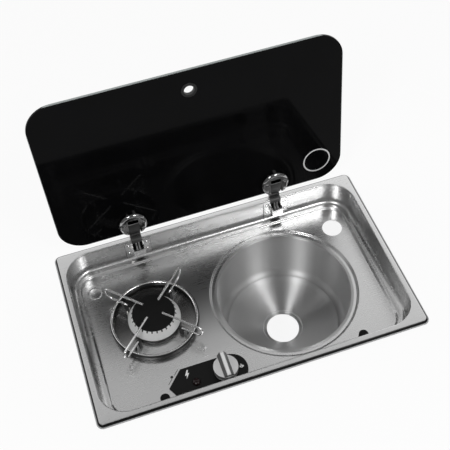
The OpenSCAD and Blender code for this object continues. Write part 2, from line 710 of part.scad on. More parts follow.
// ---------- burner ----------
hub_bot = floor_z - base_d;
module at_burner() {
    translate([burner_x, burner_y, 0]) children();
}
crown_seat = floor_z + 9;
module burner_base() {
    color([0.7, 0.7, 0.7]) at_burner() difference() {
        union() {
            rotate_extrude($fn = 128) polygon([[0, hub_bot], [hub_r, hub_bot], [hub_r, floor_z],
                [base_r, floor_z], [base_r, floor_z + base_lip - 0.5],
                [base_r - 0.5, floor_z + base_lip], [hub_r + 2, floor_z + base_lip],
                [hub_r + 2, crown_seat], [0, crown_seat]]);
            translate([0, 0, hub_bot - boss_d]) cylinder(r = boss_r, h = boss_d + 1, $fn = 64);
        }
        translate([0, 0, hub_bot + base_wall]) cylinder(r = hub_r - base_wall, h = 60, $fn = 96);
        translate([0, 0, hub_bot - boss_d + 8]) cylinder(r = jet_r + 1, h = 30, $fn = 48);
        translate([0, 0, hub_bot - boss_d - 1]) cylinder(r = jet_r + run_fit, h = 12, $fn = 48);
        for (a = [90, 210, 330]) rotate([0, 0, a]) translate([base_screw_at, 0, hub_bot - 1])
            cylinder(r = m3_r + screw_gap, h = base_wall + 2, $fn = 32);
    }
}
module gas_jet() {
    color([0.75, 0.6, 0.3]) at_burner() difference() {
        union() {
            translate([0, 0, hub_bot - boss_d - 12]) cylinder(r = jet_r, h = 19, $fn = 48);
            translate([0, 0, hub_bot - boss_d - 6]) cylinder(r = jet_r + 2.5, h = 6, $fn = 6);
        }
        translate([0, 0, hub_bot - boss_d - 13]) cylinder(r = pipe_r + run_fit, h = 15, $fn = 48);
        translate([0, 0, hub_bot - boss_d]) cylinder(r = 0.5, h = 10, $fn = 24);
    }
}
module heat_shield() {
    color([0.62, 0.62, 0.62]) at_burner() difference() {
        rotate_extrude($fn = 128) polygon(rev([[boss_r + screw_gap, hub_bot - shield_t],
            [shield_r, hub_bot - shield_t],
            [shield_r, hub_bot + shield_d], [shield_r - shield_t, hub_bot + shield_d],
                [shield_r - shield_t, hub_bot],
            [boss_r + screw_gap, hub_bot]]));
        for (a = [90, 210, 330]) rotate([0, 0, a]) translate([base_screw_at, 0, hub_bot - 3])
            cylinder(r = m3_r + screw_gap, h = 6, $fn = 32);
        for (a = [spark_a, thermo_a]) rotate([0, 0, a]) translate([probe_at, 0, hub_bot - 3])
            cylinder(r = probe_r + 2, h = 6, $fn = 32);
    }
}
module burner_screws() {
    color([0.55, 0.55, 0.55]) at_burner() for (a = [90, 210, 330]) rotate([0, 0, a])
        translate([base_screw_at, 0, 0]) {
        translate([0, 0, hub_bot - shield_t - 2]) cylinder(r = 3, h = 2, $fn = 32);
        translate([0, 0, hub_bot - shield_t - 0.5]) cylinder(r = m3_r, h = base_wall + 5, $fn = 32);
        translate([0, 0, hub_bot + base_wall]) cylinder(r = 2.9, h = 2.2, $fn = 6);
    }
}
jet_z = hub_bot - boss_d;
module gas_pipe() {
    v = [knob_x - port_len, knob_y, gland_z - valve_d + 8];
    p = [[v[0] + 8, v[1], v[2]], [v[0] - 9, v[1], v[2]], [v[0] - 11, v[1], v[2]],
        [v[0] - 22, v[1] + 8, v[2] - 8], [v[0] - 32, v[1] + 30, jet_z - 14],
        [-134, -50, jet_z - 26], [burner_x + 4, burner_y - 26, jet_z - 34],
        [burner_x, burner_y - 7, jet_z - 30], [burner_x, burner_y, jet_z - 20],
        [burner_x, burner_y, jet_z - 14.5], [burner_x, burner_y, jet_z - 2]];
    color([0.75, 0.5, 0.33]) tube(curve(p, 4), pipe_r, 12);
}
// The stop bead parts the free end of the inlet pipe from its nut
inlet_len = 44;
nut_len = 8;
module gas_inlet_pipe() {
    color([0.7, 0.7, 0.7]) translate([knob_x, knob_y, gland_z - valve_d + 8]) rotate([90, 0, 0])
        union() {
            translate([0, 0, port_len - port_deep]) cylinder(r = inlet_r, h = inlet_len, $fn = 48);
            translate([0, 0, port_len + nut_len + side_gap]) rotate_extrude($fn = 48)
                polygon([[0, 0], [inlet_r + 0.6, 0], [inlet_r + 1.2, 0.6], [inlet_r + 1.2, 1.4],
                    [inlet_r + 0.6, 2], [0, 2]]);
        }
}
module pipe_nuts() {
    color([0.72, 0.6, 0.32]) for (s = [-1, 1]) translate([knob_x, knob_y, gland_z - valve_d + 8])
        rotate(s > 0 ? [90, 0, 0] : [0, -90, 0])
        translate([0, 0, port_len]) difference() {
            cylinder(r = port_r + 1.5, h = nut_len, $fn = 6);
            translate([0, 0, -1]) cylinder(r = (s > 0 ? inlet_r : pipe_r) + run_fit, h = 10, $fn = 48);
        }
}
crown_in = hub_r - base_wall - 2.5;
cap_plug = 3.5;
crown_bore = cap_r - 2.6;
module burner_crown() {
    spigot = hub_r - base_wall - run_fit;
    color([0.82, 0.82, 0.8]) at_burner() difference() {
        rotate_extrude($fn = 128) polygon([[crown_in, crown_seat - 3], [spigot, crown_seat - 3],
            [spigot, crown_seat],
            [hub_r + 1.8, crown_seat], [hub_r + 1.8, crown_foot], [crown_r, crown_foot],
                [crown_r, crown_foot + 1.2],
            [cap_r + 1.6, crown_top - 2.2], [cap_r + 0.4, crown_top], [crown_bore, crown_top],
            [crown_bore, crown_top - cap_plug - 1], [crown_in, crown_foot + 2]]);
        for (i = [0:slot_n - 1]) rotate([0, 0, 360 * (i + 0.5) / slot_n])
            translate([cap_r - 6, -slot_w / 2, crown_top - slot_d])
            cube([12, slot_w, slot_d + 1]);
    }
}
module burner_cap() {
    plug = crown_bore - side_gap;
    color([0.03, 0.03, 0.03]) at_burner() rotate_extrude($fn = 128) polygon(concat([[0, crown_top - 1.5],
        [plug - 2, crown_top - 1.5], [plug - 2, crown_top - cap_plug], [plug, crown_top - cap_plug],
            [plug, crown_top],
        [cap_r - 0.5, crown_top], [cap_r, crown_top + 0.4]], arc(cap_r - 1, cap_z - 1, 1, 0, 90, 5),
            [[0, cap_z]]));
}

// ---------- pan support ----------
foot_z = floor_z + 0.15;
bead_r = 3.4;
ring_in = ring_r - ring_t - 0.4;
module support_ring() {
    bead_z = floor_z + ring_h - bead_r;
    color([0.8, 0.8, 0.8]) at_burner() rotate_extrude($fn = 160) polygon(concat(
        [[ring_in, foot_z], [ring_r - 0.3, foot_z], [ring_r, foot_z + 0.5]],
        arc(ring_r - bead_r, bead_z, bead_r, 0, 180, 12),
        [[ring_r - 2 * bead_r, bead_z - 1], [ring_in, bead_z - 1.8]]));
}
module strap_shape(w) {
    difference() {
        translate([strap_in, -w / 2]) square([ring_mid - strap_in, w]);
        circle(r = strap_in, $fn = 128);
    }
}
module support_straps() {
    color([0.55, 0.55, 0.55]) at_burner() for (a = [45:90:315]) rotate([0, 0, a]) {
        translate([0, 0, foot_z]) linear_extrude(height = strap_t) intersection() {
            strap_shape(strap_w);
            circle(r = ring_in, $fn = 160);
        }
        translate([66, 0, foot_z + strap_t]) rotate([90, 0, 0]) linear_extrude(height = 6, center = true)
            polygon([[-4, -0.5], [4, -0.5], [2.6, wire_low - wire_d / 2 - foot_z - strap_t],
                [-2.6, wire_low - wire_d / 2 - foot_z - strap_t]]);
    }
}
clip_r0 = strap_in + 0.4;
clip_len = 7.4;
clip_w = 7.6;
clip_x = clip_r0 + clip_len / 2 + 0.4;
module support_clips() {
    top = wire_low - 1.2;
    color([0.1, 0.1, 0.1]) at_burner() for (a = [45:90:315]) rotate([0, 0, a]) difference() {
        translate([clip_r0, -clip_w / 2, foot_z + strap_t])
            cube([clip_len, clip_w, top - foot_z - strap_t]);
        translate([clip_x, 0, foot_z + strap_t + 3])
            cylinder(r = wire_d / 2 + run_fit, h = 30, $fn = 32);
        // Open on the outside where the wire bends away
        translate([clip_x, -wire_d / 2 - 0.2, wire_low - 6.6])
            cube([clip_len, wire_d + 0.4, 10]);
    }
}
module support_prongs() {
    w = wire_z;
    l = wire_low;
    e = clip_x;
    o = wire_out;
    m = (w + l) / 2;
    p = [[wire_in, 0, w], [wire_in + 1, 0, w], [(wire_in + o) / 2, 0, w], [o - 3, 0, w], [o, 0, w - 0.5],
        [o + 2.6, 0, w - 2],
        [o + 4.2, 0, w - 4.6], [o + 4.6, 0, w - 8], [o + 3.4, 0, m - 1], [o + 0.6, 0, l + 5.5],
            [o - 3, 0, l + 1.8],
        [o - 7, 0, l + 0.4], [o - 12, 0, l], [e + 22, 0, l], [e + 6, 0, l], [e + 3, 0, l - 0.5],
            [e + 1, 0, l - 1.8],
        [e + 0.15, 0, l - 4], [e, 0, l - 6.4], [e, 0, foot_z + strap_t + 3.4]];
    color([0.85, 0.85, 0.85]) at_burner() for (a = [45:90:315]) rotate([0, 0, a])
        tube(p, wire_d / 2, 12);
}

// ---------- lid and hinges ----------
module at_bracket_screws(s) {
    for (i = [-1, 1], j = [-1, 1]) translate([s * hinge_x + i * screw_x, wall_y,
        screw_mid + j * screw_dz])
        rotate([90, 0, 0]) children();
}
// Side view of the fixed bracket's neck, from the wall plate over the rim
neck_y = wall_y - 0.4;
module neck_side() {
    low = rim_h + neck_gap;
    polygon([[neck_y - neck_t, channel_top - 6], [neck_y, channel_top - 6], [neck_y, low + 0.5],
        [neck_y + 1.2, low], [pin_y, low], [pin_y, low + neck_t], [neck_y + 0.6, low + neck_t],
            [neck_y - neck_t, rim_h]]);
}
module bracket() {
    eye_gap = eye_w / 2 + side_gap;
    difference() {
        union() {
            rotate([90, 0, 90]) linear_extrude(height = plate_w, center = true) polygon([
                [wall_y, plate_top], [wall_y, cove_z + 0.5], [wall_y - toe_in, plate_bot],
                [wall_y - toe_in - plate_t, plate_bot], [wall_y - plate_t, cove_z + 1.5],
                    [wall_y - plate_t, plate_top]]);
            for (s = [-1, 1])
                translate([s * (channel_w - cheek_t) / 2 - cheek_t / 2, channel_y, channel_bot])
                cube([cheek_t, wall_y - plate_t / 2 - channel_y, channel_top - channel_bot]);
            translate([-channel_w / 2, channel_y, channel_bot]) cube([channel_w, 8, 2]);
            translate([-channel_w / 2 + 0.5, channel_y - 1.2, channel_bot])
                cube([channel_w - 1, 1.4, channel_front]);
            rotate([90, 0, 90]) linear_extrude(height = arm_w, center = true) neck_side();
            for (s = [-1, 1]) translate([s * (arm_w / 2 + eye_gap) / 2, 0, 0]) rotate([90, 0, 90])
                linear_extrude(height = arm_w / 2 - eye_gap, center = true) union() {
                    translate([pin_y, pin_z]) circle(r = eye_r, $fn = 64);
                    translate([pin_y + 1.3, pin_z]) square([eye_r - 1.3, stop_h]);
                }
            rotate([90, 0, 90]) linear_extrude(height = arm_w, center = true)
                translate([pin_y + 1.3, pin_z + eye_r + side_gap])
                    square([eye_r - 1.3, stop_h - eye_r - side_gap]);
        }
        translate([0, pin_y, pin_z]) rotate([0, 90, 0])
            cylinder(r = pin_r + run_fit, h = 2 * arm_w, center = true, $fn = 64);
        translate([-eye_gap, pin_y - eye_r - side_gap, rim_h])
            cube([2 * eye_gap, 2 * eye_r + 2 * side_gap, pin_h + eye_r + side_gap]);
        for (i = [-1, 1], j = [-1, 1]) translate([i * screw_x, wall_y, screw_mid + j * screw_dz])
            rotate([90, 0, 0]) cylinder(r = m4_r + screw_gap, h = 10, center = true, $fn = 32);
    }
}
stop_h = 8;
module hinge_bracket_left() {
    color([0.62, 0.62, 0.62]) translate([-hinge_x, 0, 0]) bracket();
}
module hinge_bracket_right() {
    color([0.62, 0.62, 0.62]) translate([hinge_x, 0, 0]) bracket();
}
module pin_shape() {
    translate([0, pin_y, pin_z]) rotate([0, 90, 0])
        cylinder(r = pin_r, h = arm_w, center = true, $fn = 64);
}
module hinge_pin_left() {
    color([0.5, 0.5, 0.5]) translate([-hinge_x, 0, 0]) pin_shape();
}
module hinge_pin_right() {
    color([0.5, 0.5, 0.5]) translate([hinge_x, 0, 0]) pin_shape();
}
// Two plastic fingers that guide the arm, in each channel
module hinge_fingers() {
    low = channel_bot + 3;
    neck_f = neck_y - neck_t;
    plate_f = wall_y - plate_t;
    color([0.35, 0.35, 0.35]) for (s = [-1, 1], i = [-1, 1])
        translate([s * hinge_x + i * finger_x, 0, 0]) rotate([90, 0, 90])
        linear_extrude(height = finger_w, center = true)
            polygon([[neck_f, -1.5], [neck_f, channel_top - 6.5], [plate_f, channel_top - 6.5],
                [plate_f, low], [channel_y + 3, low], [channel_y + 3, channel_top - 4],
                [neck_f - 2, channel_top - 1], [neck_f - 2, -2.2]]);
}
module hinge_backing_plates() {
    color([0.6, 0.6, 0.6]) for (s = [-1, 1]) difference() {
        translate([s * hinge_x - plate_w / 2, wall_y + sheet_t, plate_bot + 10])
            cube([plate_w, 2, plate_top - plate_bot - 12]);
        at_bracket_screws(s) cylinder(r = m4_r + run_fit, h = 20, center = true, $fn = 32);
    }
}
module bracket_screws() {
    color([0.8, 0.8, 0.8]) for (s = [-1, 1]) at_bracket_screws(s) {
        translate([0, 0, -6]) cylinder(r = m4_r, h = 7.6, $fn = 32);
        translate([0, 0, plate_t]) difference() {
            cylinder(r1 = 3.6, r2 = 2.6, h = 1.8, $fn = 48);
            translate([0, 0, 1]) for (q = [0, 90]) rotate([0, 0, q]) cube([3.6, 0.8, 2], center = true);
        }
    }
}

// A lid-frame point sits at (x, c - pin_c, d - pin_d) from the pin, turned with the lid
module lid_frame() {
    translate([0, pin_y, pin_z]) rotate([180 - lid_open, 0, 0]) translate([0, -pin_c, -pin_d]) children();
}
module glass_outline() {
    translate([0, glass_dep / 2]) round_rect(glass_len / 2, glass_dep / 2, glass_r);
}
module at_cup_screws() {
    for (s = [-1, 1], i = [-1, 1], c = cup_s) translate([s * hinge_x + i * cup_x, c]) children();
}
module lid_glass() {
    color([0.02, 0.02, 0.025]) lid_frame() translate([0, 0, -glass_t]) linear_extrude(height = glass_t)
        difference() {
        glass_outline();
        translate([0, hole_c]) circle(r = grommet_r - 3, $fn = 64);
        at_cup_screws() circle(r = m3_r + 1.2, $fn = 32);
    }
}
module lid_grommet() {
    color([0.04, 0.04, 0.04]) lid_frame() translate([0, hole_c, 0]) rotate_extrude($fn = 96) polygon([
        [grommet_r - 5, -glass_t - 1.5], [grommet_r - 0.6, -glass_t - 1.5], [grommet_r, -glass_t - 0.9],
            [grommet_r, -glass_t],
        [grommet_r - 3, -glass_t], [grommet_r - 3, 0], [grommet_r, 0], [grommet_r, 0.9],
            [grommet_r - 0.6, 1.5],
        [grommet_r - 5, 1.5]]);
}
print_x = 228.4;
print_c = 48.8;
print_r = 27.5;
print_w = 2.8;
module lid_ring_print() {
    color([0.85, 0.85, 0.85]) lid_frame() translate([print_x, print_c, 0]) linear_extrude(height = mark_t)
        difference() {
        circle(r = print_r, $fn = 96);
        circle(r = print_r - print_w, $fn = 96);
    }
}
// Side view of the cranked arm in the lid frame, as its middle line: flat on the cup's seat,
// down to the glass, round the glass edge and over the bracket's neck to the pin
arm_d = -(neck_gap + neck_t + side_gap + glass_t) - arm_t / 2;
crank_c = -(edge_gap + arm_t / 2);
arm_end = cup_c1 - 21.5;
seat_c = arm_end - 9;
arm_seat_d = cup_t - 2.2;
arm_path = [[arm_end, arm_seat_d + arm_t / 2], [seat_c, arm_seat_d + arm_t / 2], [cup_c0 + 3, 5.2],
    [cup_c0 - 3, 2.2],
    [crank_c + 0.6, side_gap + arm_t / 2], [crank_c, 0.7], [crank_c, arm_d + 0.8], [crank_c - 0.8, arm_d],
        [pin_c, arm_d]];
module arm() {
    t = arm_t / 2;
    side_pts = concat(shifted(arm_path, -t), rev(shifted(arm_path, t)));
    difference() {
        union() {
            difference() {
                rotate([90, 0, 90]) linear_extrude(height = arm_w, center = true) polygon(side_pts);
                translate([0, pin_c, pin_d]) rotate([0, 90, 0])
                    cylinder(r = eye_r + side_gap, h = 2 * arm_w, center = true, $fn = 64);
            }
            rotate([90, 0, 90]) linear_extrude(height = eye_w, center = true) union() {
                translate([pin_c, pin_d]) circle(r = eye_r, $fn = 64);
                translate([pin_c, arm_d - t]) square([eye_r + 1, arm_t]);
            }
        }
        translate([0, pin_c, pin_d]) rotate([0, 90, 0])
            cylinder(r = pin_r + run_fit, h = 2 * arm_w, center = true, $fn = 64);
    }
}
module hinge_arm_left() {
    color([0.2, 0.2, 0.21]) lid_frame() translate([-hinge_x, 0, 0]) arm();
}
module hinge_arm_right() {
    color([0.2, 0.2, 0.21]) lid_frame() translate([hinge_x, 0, 0]) arm();
}
window_w = 20;
window_h = 8;
module cup_outline() {
    intersection() {
        translate([-cup_w / 2, cup_c0]) square([cup_w, cup_c1 - cup_c0]);
        translate([0, cup_c1 - cup_w / 2]) circle(r = cup_w / 2, $fn = 128);
    }
}
module cup() {
    slot = arm_w + 2 * side_gap;
    difference() {
        intersection() {
            translate([-cup_w / 2, cup_c0, 0]) cube([cup_w, cup_c1 - cup_c0, cup_t]);
            translate([0, cup_c1 - cup_w / 2, 0]) rotate_extrude($fn = 128)
                polygon(concat([[0, 0], [cup_w / 2, 0]],
                    arc(cup_w / 2 - dome_r, cup_t - dome_r, dome_r, 0, 90, 8), [[0, cup_t]]));
        }
        translate([-slot / 2, cup_c0 - 1, arm_seat_d])
            cube([slot, arm_end - cup_c0 + 1 + side_gap, cup_t]);
        translate([-slot / 2, cup_c0 - 1, 1.2])
            cube([slot, seat_c - cup_c0 + 1 + side_gap, cup_t]);
        translate([-window_w / 2, arm_end + 0.8, 1.2]) cube([window_w, window_h, cup_t]);
        for (i = [-1, 1], c = cup_s) translate([i * cup_x, c, -1])
            cylinder(r = m3_r + screw_gap, h = cup_t + 2, $fn = 32);
        for (i = [-1, 1], c = cup_s) translate([i * cup_x, c, cup_t - 3])
            cylinder(r = pocket_r, h = 4, $fn = 48);
    }
}
module hinge_cup_left() {
    color([0.85, 0.85, 0.86]) lid_frame() translate([-hinge_x, 0, 0]) cup();
}
module hinge_cup_right() {
    color([0.85, 0.85, 0.86]) lid_frame() translate([hinge_x, 0, 0]) cup();
}
module hinge_outer_plates() {
    color([0.3, 0.3, 0.3]) lid_frame() for (s = [-1, 1]) translate([s * hinge_x, 0, -glass_t - outer_t])
        difference() {
        linear_extrude(height = outer_t) cup_outline();
        for (i = [-1, 1], c = cup_s) translate([i * cup_x, c, -1])
            cylinder(r = m3_r + run_fit, h = outer_t + 2, $fn = 32);
    }
}
module cup_screws() {
    color([0.8, 0.8, 0.8]) lid_frame() at_cup_screws() {
        translate([0, 0, -glass_t - outer_t + 0.5])
            cylinder(r = m3_r, h = glass_t + outer_t + cup_t - 3, $fn = 32);
        translate([0, 0, cup_t - 3]) difference() {
            cylinder(r = 3, h = 2, $fn = 48);
            translate([0, 0, 1.6]) for (q = [0, 90]) rotate([0, 0, q]) cube([3.4, 0.7, 2], center = true);
        }
    }
}
module lid_bumpers() {
    b = bumper_stem;
    color([0.05, 0.05, 0.05]) for (s = [-1, 1]) translate([s * bumper_x, -wall_y, bumper_top]) union() {
        intersection() {
            translate([-bumper_w / 2, 0, -b - 8]) cube([bumper_w, bumper_out, b + 8]);
            translate([0, bumper_out - bumper_w / 2, -b - 9]) union() {
                cylinder(r = bumper_w / 2, h = b + 10, $fn = 64);
                translate([-bumper_w / 2, -bumper_w, 0]) cube([bumper_w, bumper_w, b + 10]);
            }
        }
        translate([0, 0.5, -b]) rotate([90, 0, 0]) cylinder(r = bumper_hole - run_fit, h = 3, $fn = 32);
        translate([0, -sheet_t, -b]) rotate([90, 0, 0])
            cylinder(r = bumper_hole + 1.2, h = 1.6, $fn = 32);
    }
}

tray_rim();
tray_wall();
tray_floor();
sink_bowl();
edge_seal();
worktop_clamps();
clamp_screws();
control_panel();
panel_marks();
tray_mark();
valve_body();
valve_bracket();
valve_spring();
igniter_housing();
igniter_spring();
ignition_lead();
spark_electrode();
thermocouple();
thermocouple_lead();
burner_base();
gas_jet();
burner_screws();
gas_pipe();
gas_inlet_pipe();
pipe_nuts();
heat_shield();
lid_bumpers();
hinge_bracket_left();
hinge_bracket_right();
hinge_pin_left();
hinge_pin_right();
hinge_fingers();
hinge_backing_plates();
bracket_screws();
lid_glass();
lid_grommet();
lid_ring_print();
hinge_arm_left();
hinge_arm_right();
hinge_cup_left();
hinge_cup_right();
hinge_outer_plates();
cup_screws();
spindle_collar();
knob();
knob_stripe();
knob_spindle();
igniter_button();
burner_crown();
burner_cap();
support_ring();
support_prongs();
support_straps();
support_clips();
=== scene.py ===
import json
import math

import bpy
from mathutils import Matrix, Vector


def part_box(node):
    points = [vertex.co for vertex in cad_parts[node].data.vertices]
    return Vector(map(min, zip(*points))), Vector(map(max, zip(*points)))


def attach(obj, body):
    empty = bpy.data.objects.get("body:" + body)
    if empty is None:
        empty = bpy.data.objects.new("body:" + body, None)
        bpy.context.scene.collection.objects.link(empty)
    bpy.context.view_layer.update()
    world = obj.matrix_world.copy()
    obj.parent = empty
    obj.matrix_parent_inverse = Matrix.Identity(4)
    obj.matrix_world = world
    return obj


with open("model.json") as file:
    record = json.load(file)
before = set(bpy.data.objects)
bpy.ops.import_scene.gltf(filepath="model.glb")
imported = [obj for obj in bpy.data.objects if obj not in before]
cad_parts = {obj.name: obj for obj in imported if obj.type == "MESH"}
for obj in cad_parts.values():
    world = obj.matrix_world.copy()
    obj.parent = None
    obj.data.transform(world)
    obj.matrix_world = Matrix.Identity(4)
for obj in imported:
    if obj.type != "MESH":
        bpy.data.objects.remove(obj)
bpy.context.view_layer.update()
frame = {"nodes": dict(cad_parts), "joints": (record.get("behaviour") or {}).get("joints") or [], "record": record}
nodes = frame["nodes"]
MM = 0.001


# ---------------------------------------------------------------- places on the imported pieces, in metres
def middle(name):
    """The middle of a CAD piece, seen from above."""
    low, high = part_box(name)
    return Vector(((low.x + high.x) / 2, (low.y + high.y) / 2, 0.0))


BOWL = middle("sink_bowl")
BURNER = middle("support_ring")
KNOB = middle("knob_spindle")
HINGE_X = middle("hinge_pin_right").x
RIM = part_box("tray_rim")[1]
FLOOR_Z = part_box("tray_floor")[1].z
RING_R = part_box("support_ring")[1].x - BURNER.x
CROWN_SLOTS = 28

# The open lid: how far it leans back, its pane, and the lower edge of its inner face
LID_SHUT = next(joint["range_deg"][0] for joint in frame["joints"] if joint["name"] == "lid_hinge")
LID_LEAN = math.radians(-LID_SHUT - 90)
LID_THICK = 4 * MM
LID_CORNER = 45 * MM
LID_HALF_HEIGHT = 163 * MM
LID_HALF_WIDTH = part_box("lid_glass")[1].x
LID_UP = Vector((0.0, math.sin(LID_LEAN), math.cos(LID_LEAN)))
LID_FACE = Vector((0.0, -math.cos(LID_LEAN), math.sin(LID_LEAN)))
LID_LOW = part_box("lid_glass")[0]
LID_EDGE = Vector((0.0, LID_LOW.y, LID_LOW.z + LID_THICK * math.sin(LID_LEAN)))


# ---------------------------------------------------------------- shader maths
def plug(tree, item, place):
    """Links a value to a socket, or writes a plain number, colour or vector on it."""
    if isinstance(item, Value):
        tree.links.new(item.socket, place)
    else:
        place.default_value = item


def fill(tree, node, values):
    """Fills a node's sockets by name. An underscore may stand for a space."""
    for key, item in values.items():
        name = key.replace("_", " ")
        plug(tree, item, next(place for place in node.inputs if place.enabled and place.name == name))


def add_node(tree, kind, settings=None, *values, **named):
    """Adds a shader node: its settings first, then its sockets, in their order or by name."""
    node = tree.nodes.new("ShaderNode" + kind)
    for key, item in (settings or {}).items():
        setattr(node, key, item)
    for place, item in zip(node.inputs, values):
        plug(tree, item, place)
    fill(tree, node, named)
    return node


class Value:
    """A shader socket that Python arithmetic can use."""

    def __init__(self, tree, socket):
        self.tree = tree
        self.socket = socket

    def math(self, operation, *others):
        return result(self.tree, "Math", {"operation": operation}, self, *others)

    def __add__(self, item):
        return self.math("ADD", item)

    def __mul__(self, item):
        return self.math("MULTIPLY", item)

    def __sub__(self, item):
        return self.math("SUBTRACT", item)

    def __rsub__(self, number):
        return result(self.tree, "Math", {"operation": "SUBTRACT"}, number, self)

    def __pow__(self, item):
        return self.math("POWER", item)

    __radd__ = __add__
    __rmul__ = __mul__

    def above(self, low, high):
        """0 below low, 1 above high, smooth between."""
        smooth = {"interpolation_type": "SMOOTHSTEP"}
        return result(self.tree, "MapRange", smooth, Value=self, From_Min=low, From_Max=high)

    def below(self, low, high):
        """1 below low, 0 above high, smooth between."""
        return 1.0 - self.above(low, high)

    def past(self, edge):
        """Distance past an edge on either side of zero, and 0 between the two."""
        return (self.math("ABSOLUTE") - edge).math("MAXIMUM", 0.0)

    def either(self, mask):
        """1 where this mask or the other one is 1."""
        return self.math("MAXIMUM", mask)

    def sway(self, amount):
        """A noise's swing to both sides of its middle, times an amount."""
        return (self - 0.5) * amount


def result(tree, kind, settings=None, *values, **named):
    """Adds a shader node and gives its first output."""
    node = add_node(tree, kind, settings, *values, **named)
    return Value(tree, next(socket for socket in node.outputs if socket.enabled))


def split(tree, vector):
    """The x, y and z of a vector."""
    return [Value(tree, socket) for socket in add_node(tree, "SeparateXYZ", None, vector).outputs]


def length(a, b):
    """Distance from where both values are 0."""
    return (a * a + b * b) ** 0.5


class Finish:
    """One material: its shader, and short ways to add the nodes that feed it."""

    def __init__(self, name, **values):
        self.material = bpy.data.materials.new(name)
        self.material.use_nodes = True
        self.tree = self.material.node_tree
        self.shader = self.tree.nodes["Principled BSDF"]
        self.place = Value(self.tree, add_node(self.tree, "TexCoord").outputs["Object"])
        self.put(**values)

    def put(self, **values):
        fill(self.tree, self.shader, values)

    def stretched(self, *scale):
        """Object coordinates scaled along each axis, for a pattern drawn out along one of them."""
        return result(self.tree, "Mapping", {"vector_type": "POINT"}, Vector=self.place, Scale=scale)

    def axes(self, centre=(0, 0, 0)):
        """Object coordinates x, y and z, measured from a centre."""
        away = result(self.tree, "VectorMath", {"operation": "SUBTRACT"}, self.place, centre)
        return split(self.tree, away)

    def noise(self, per_metre, detail=2.0, vector=None, rough=0.5):
        vector = vector or self.place
        return result(self.tree, "TexNoise", Vector=vector, Scale=per_metre, Detail=detail, Roughness=rough)

    def turned_lines(self, a, b, per_metre):
        """Noise that changes with two values alone, so it runs round in fine lines."""
        vector = result(self.tree, "CombineXYZ", None, a * per_metre, b * per_metre, 0.0)
        return self.noise(1.0, vector=vector)

    def mix(self, factor, first, second):
        return result(self.tree, "Mix", {"data_type": "RGBA"}, Factor=factor, A=first, B=second)

    def bump(self, height, distance, strength):
        self.put(Normal=result(self.tree, "Bump", Height=height, Distance=distance, Strength=strength))
        return self


def grey(level, tint=(1, 1, 1)):
    return tuple(level * part for part in tint) + (1.0,)


def shaded(colour, factor):
    """A colour made darker or lighter."""
    return tuple(min(1.0, part * factor) for part in colour[:3]) + (1.0,)


# ---------------------------------------------------------------- finishes
# In the finishes, a pair of numbers is a band: where a change starts and where it is complete, in metres.

# How many times a pattern repeats in a metre
GRAIN_STRETCH = (30, 1100, 1100)
PLASTIC_CLOUDS = 40.0
HANDLING_MARKS = 70.0
POLISHING_GRAIN = 900.0


def plain_steel(name, level, rough, grain):
    """Plate or strip: fine grain, faint cloudy handling marks."""
    f = Finish(name, Metallic=1.0)
    lines = f.noise(grain, 3.0, rough=0.6)
    cloud = f.noise(9.0)
    smear = f.noise(60.0, 3.0, f.stretched(1, 2.2, 1))
    dark, light = grey(level * 0.93, (0.995, 1, 1)), grey(level * 1.06)
    f.put(Roughness=lines.sway(0.06) + cloud.sway(0.08) + smear.sway(0.03) + rough,
          Base_Color=f.mix(lines * 0.5 + cloud * 0.5, dark, light))
    return f.bump(lines, 0.02 * MM, 0.35)


def tray_steel():
    """Satin sheet with a painted dark reflection along the lower half of its rolled edge, and painted shade on the
    floor inside the pan support.
    """
    # Painted shade: the floor inside the pan support is a little darker, apart from its front
    inside_ring = (0.0790, 0.0815)
    above_floor = (FLOOR_Z + 0.5 * MM, FLOOR_Z + 2 * MM)
    front_of_ring = (-0.052, -0.030)
    # The rolled edge, by its distance out from the flat of the rim
    rolled = 10 * MM
    dark_reflection_band = (0.0066, 0.0070)
    edge_top = (RIM.z - 0.3 * MM, RIM.z)

    f = Finish("satin_tray_steel", Metallic=1.0)
    lines = f.noise(1.0, 3.0, f.stretched(*GRAIN_STRETCH), 0.6)
    cloud = f.noise(7.0)
    smear = f.noise(55.0, 3.0, f.stretched(1, 2, 1))
    x, y, z = f.axes(BURNER)
    painted_ring_shade = length(x, y).below(*inside_ring) * z.below(*above_floor) * y.above(*front_of_ring)
    sheet = f.mix(lines * 0.5 + cloud * 0.5, grey(0.55), grey(0.64))
    # painted shade of the pan support ring on the floor inside it
    sheet = f.mix(painted_ring_shade * 0.6, sheet, grey(0.36, (1, 0.98, 0.96)))
    x, y, z = f.axes()
    # painted dark reflection: a near-black line on the lower half of the rolled edge, all round
    painted_dark_line = length(x.past(RIM.x - rolled), y.past(RIM.y - rolled)).above(*dark_reflection_band) * z.below(*edge_top)
    f.put(Roughness=lines.sway(0.05) + cloud.sway(0.07) + smear.sway(0.03) + 0.28 - painted_ring_shade * 0.08,
          Base_Color=f.mix(painted_dark_line, sheet, grey(0.02)))
    return f.bump(lines, 0.004 * MM, 0.04)


def bowl_steel():
    """Turned lines round the bowl's own axis."""
    f = Finish("turned_bowl_steel", Metallic=1.0, Anisotropic=0.97, Anisotropic_Rotation=0.25)
    x, y, z = f.axes(BOWL)
    rings = f.turned_lines(length(x, y), z, 1600.0)
    cloud = f.noise(11.0)
    f.put(Roughness=rings.sway(0.05) + cloud.sway(0.05) + 0.45,
          Base_Color=f.mix(rings * 0.5 + cloud * 0.5, grey(0.6), grey(0.7)))
    return f.bump(rings, 0.003 * MM, 0.04)


def bright(name, level, rough, tint=(1, 1, 1)):
    """Machined, drawn or plated metal."""
    f = Finish(name, Metallic=1.0)
    cloud = f.noise(HANDLING_MARKS, 3.0)
    f.put(Roughness=cloud.sway(0.08) + rough,
          Base_Color=f.mix(cloud, grey(level * 0.9, tint), grey(level * 1.05, tint)))
    return f.bump(f.noise(POLISHING_GRAIN), 0.01 * MM, 0.3)


